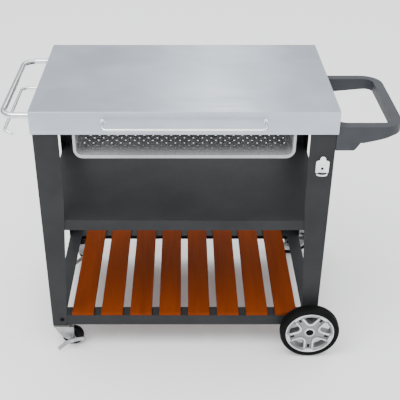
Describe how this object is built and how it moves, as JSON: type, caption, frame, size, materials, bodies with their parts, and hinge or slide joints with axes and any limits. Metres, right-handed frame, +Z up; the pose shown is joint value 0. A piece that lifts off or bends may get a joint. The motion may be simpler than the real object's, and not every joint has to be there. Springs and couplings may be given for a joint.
{
  "type": "flat top griddle",
  "caption": "Wheeled flat top griddle cart with a hinged stainless top over a griddle plate, a perforated pull-out tray, a sheet shelf and a slatted wooden shelf.",
  "frame": {"origin": "on the floor, under the middle of the whole cart's bounding box", "axes": "+X to the side of the moulded handle and the large wheels, +Y to the back, away from the lid's bar handle, +Z up"},
  "size_m": [1.2194, 0.648, 0.91],
  "materials": {
    "stainless": "brushed, cool grey",
    "inner_steel": "plain sheet, satin",
    "perforated_steel": "satin sheet with a field of round holes",
    "chrome": "polished",
    "zinc": "zinc plated",
    "dark_paint": "dark grey powder coat",
    "griddle_steel": "seasoned black steel",
    "brass": "plain brass",
    "wood": "reddish brown stain, satin",
    "handle_plastic": "moulded dark grey, slightly satin",
    "black_plastic": "black moulded",
    "tyre": "black rubber",
    "caster_rubber": "black",
    "silver_hub": "silver painted moulded hub"
  },
  "bodies": {
    "cart": {"axle": "zinc", "bottle_opener": "chrome", "burner_1": "inner_steel", "burner_2": "inner_steel", "burner_3": "inner_steel", "burner_box": "inner_steel", "caster_plate_back": "zinc", "caster_plate_front": "zinc", "control_panel": "inner_steel", "gas_manifold": "brass", "gas_valve_1": "brass", "gas_valve_2": "brass", "gas_valve_3": "brass", "griddle_plate": "griddle_steel", "hinge_leaf_box": "inner_steel", "igniter_body": "black_plastic", "leg_left_back": "dark_paint", "leg_left_front": "dark_paint", "leg_right_back": "dark_paint", "leg_right_front": "dark_paint", "lower_rail_back": "dark_paint", "lower_rail_front": "dark_paint", "lower_rail_left": "dark_paint", "lower_rail_right": "dark_paint", "mid_shelf": "dark_paint", "side_handle": "handle_plastic", "side_rail": "chrome", "slat_1": "wood", "slat_2": "wood", "slat_3": "wood", "slat_4": "wood", "slat_5": "wood", "slat_6": "wood", "slat_7": "wood", "slat_8": "wood", "towel_rod": "chrome", "tray_slide_left": "inner_steel", "tray_slide_right": "inner_steel"},
    "lid": {"lid": "stainless", "lid_bar": "chrome", "hinge_leaf_lid": "inner_steel"},
    "tray": {"perforated_tray": "perforated_steel"},
    "grease_cup": {"grease_cup": "inner_steel"},
    "wheel_front": {"wheel_front_tyre": "tyre", "wheel_front_hub": "silver_hub"},
    "wheel_back": {"wheel_back_tyre": "tyre", "wheel_back_hub": "silver_hub"},
    "igniter_button": {"igniter_button": "black_plastic"},
    "stem_1": {"valve_stem_1": "brass"},
    "knob_1": {"knob_1": "black_plastic"},
    "stem_2": {"valve_stem_2": "brass"},
    "knob_2": {"knob_2": "black_plastic"},
    "stem_3": {"valve_stem_3": "brass"},
    "knob_3": {"knob_3": "black_plastic"},
    "caster_front_fork": {"caster_fork_front": "zinc"},
    "caster_front_wheel": {"caster_wheel_front": "caster_rubber"},
    "caster_front_brake": {"caster_brake_front": "chrome"},
    "caster_back_fork": {"caster_fork_back": "zinc"},
    "caster_back_wheel": {"caster_wheel_back": "caster_rubber"},
    "caster_back_brake": {"caster_brake_back": "chrome"}
  },
  "joints": [
    {"name": "lid_hinge", "type": "hinge", "parent": "cart", "child": "lid", "pos_m": [-0.04825, 0.2796, 0.8865], "axis": [-1, 0, 0], "range_deg": [0, 95]},
    {"name": "tray_slide", "type": "slide", "parent": "cart", "child": "tray", "axis": [0, -1, 0], "range_m": [0, 0.25]},
    {"name": "grease_cup_slide", "type": "slide", "parent": "cart", "child": "grease_cup", "axis": [0, 1, 0], "range_m": [0, 0.1]},
    {"name": "wheel_front_spin", "type": "hinge", "parent": "cart", "child": "wheel_front", "pos_m": [0.37875, -0.3035, 0.1008], "axis": [0, 1, 0], "continuous": true},
    {"name": "wheel_back_spin", "type": "hinge", "parent": "cart", "child": "wheel_back", "pos_m": [0.37875, 0.3035, 0.1008], "axis": [0, 1, 0], "continuous": true},
    {"name": "caster_front_swivel", "type": "hinge", "parent": "cart", "child": "caster_front_fork", "pos_m": [-0.47325, -0.25, 0.0829], "axis": [0, 0, 1], "continuous": true},
    {"name": "caster_front_spin", "type": "hinge", "parent": "caster_front_fork", "child": "caster_front_wheel", "pos_m": [-0.43925, -0.25, 0.0375], "axis": [0, 1, 0], "continuous": true},
    {"name": "caster_front_brake_rock", "type": "hinge", "parent": "caster_front_fork", "child": "caster_front_brake", "pos_m": [-0.43925, -0.25, 0.0375], "axis": [0, -1, 0], "range_deg": [-12, 12]},
    {"name": "caster_back_swivel", "type": "hinge", "parent": "cart", "child": "caster_back_fork", "pos_m": [-0.47325, 0.25, 0.0829], "axis": [0, 0, 1], "continuous": true},
    {"name": "caster_back_spin", "type": "hinge", "parent": "caster_back_fork", "child": "caster_back_wheel", "pos_m": [-0.43925, 0.25, 0.0375], "axis": [0, 1, 0], "continuous": true},
    {"name": "caster_back_brake_rock", "type": "hinge", "parent": "caster_back_fork", "child": "caster_back_brake", "pos_m": [-0.43925, 0.25, 0.0375], "axis": [0, -1, 0], "range_deg": [-12, 12]},
    {"name": "knob_1_push", "type": "slide", "parent": "cart", "child": "stem_1", "axis": [0, 1, 0], "range_m": [0, 0.003], "stiffness_N_per_m": 600, "springref_m": -0.001},
    {"name": "knob_1_turn", "type": "hinge", "parent": "stem_1", "child": "knob_1", "pos_m": [-0.33825, -0.238, 0.857], "axis": [0, -1, 0], "range_deg": [0, 100]},
    {"name": "knob_2_push", "type": "slide", "parent": "cart", "child": "stem_2", "axis": [0, 1, 0], "range_m": [0, 0.003], "stiffness_N_per_m": 600, "springref_m": -0.001},
    {"name": "knob_2_turn", "type": "hinge", "parent": "stem_2", "child": "knob_2", "pos_m": [-0.04825, -0.238, 0.857], "axis": [0, -1, 0], "range_deg": [0, 100]},
    {"name": "knob_3_push", "type": "slide", "parent": "cart", "child": "stem_3", "axis": [0, 1, 0], "range_m": [0, 0.003], "stiffness_N_per_m": 600, "springref_m": -0.001},
    {"name": "knob_3_turn", "type": "hinge", "parent": "stem_3", "child": "knob_3", "pos_m": [0.24175, -0.238, 0.857], "axis": [0, -1, 0], "range_deg": [0, 100]},
    {"name": "igniter_press", "type": "slide", "parent": "cart", "child": "igniter_button", "axis": [0, 1, 0], "range_m": [0, 0.005], "stiffness_N_per_m": 500, "springref_m": -0.001}
  ]
}
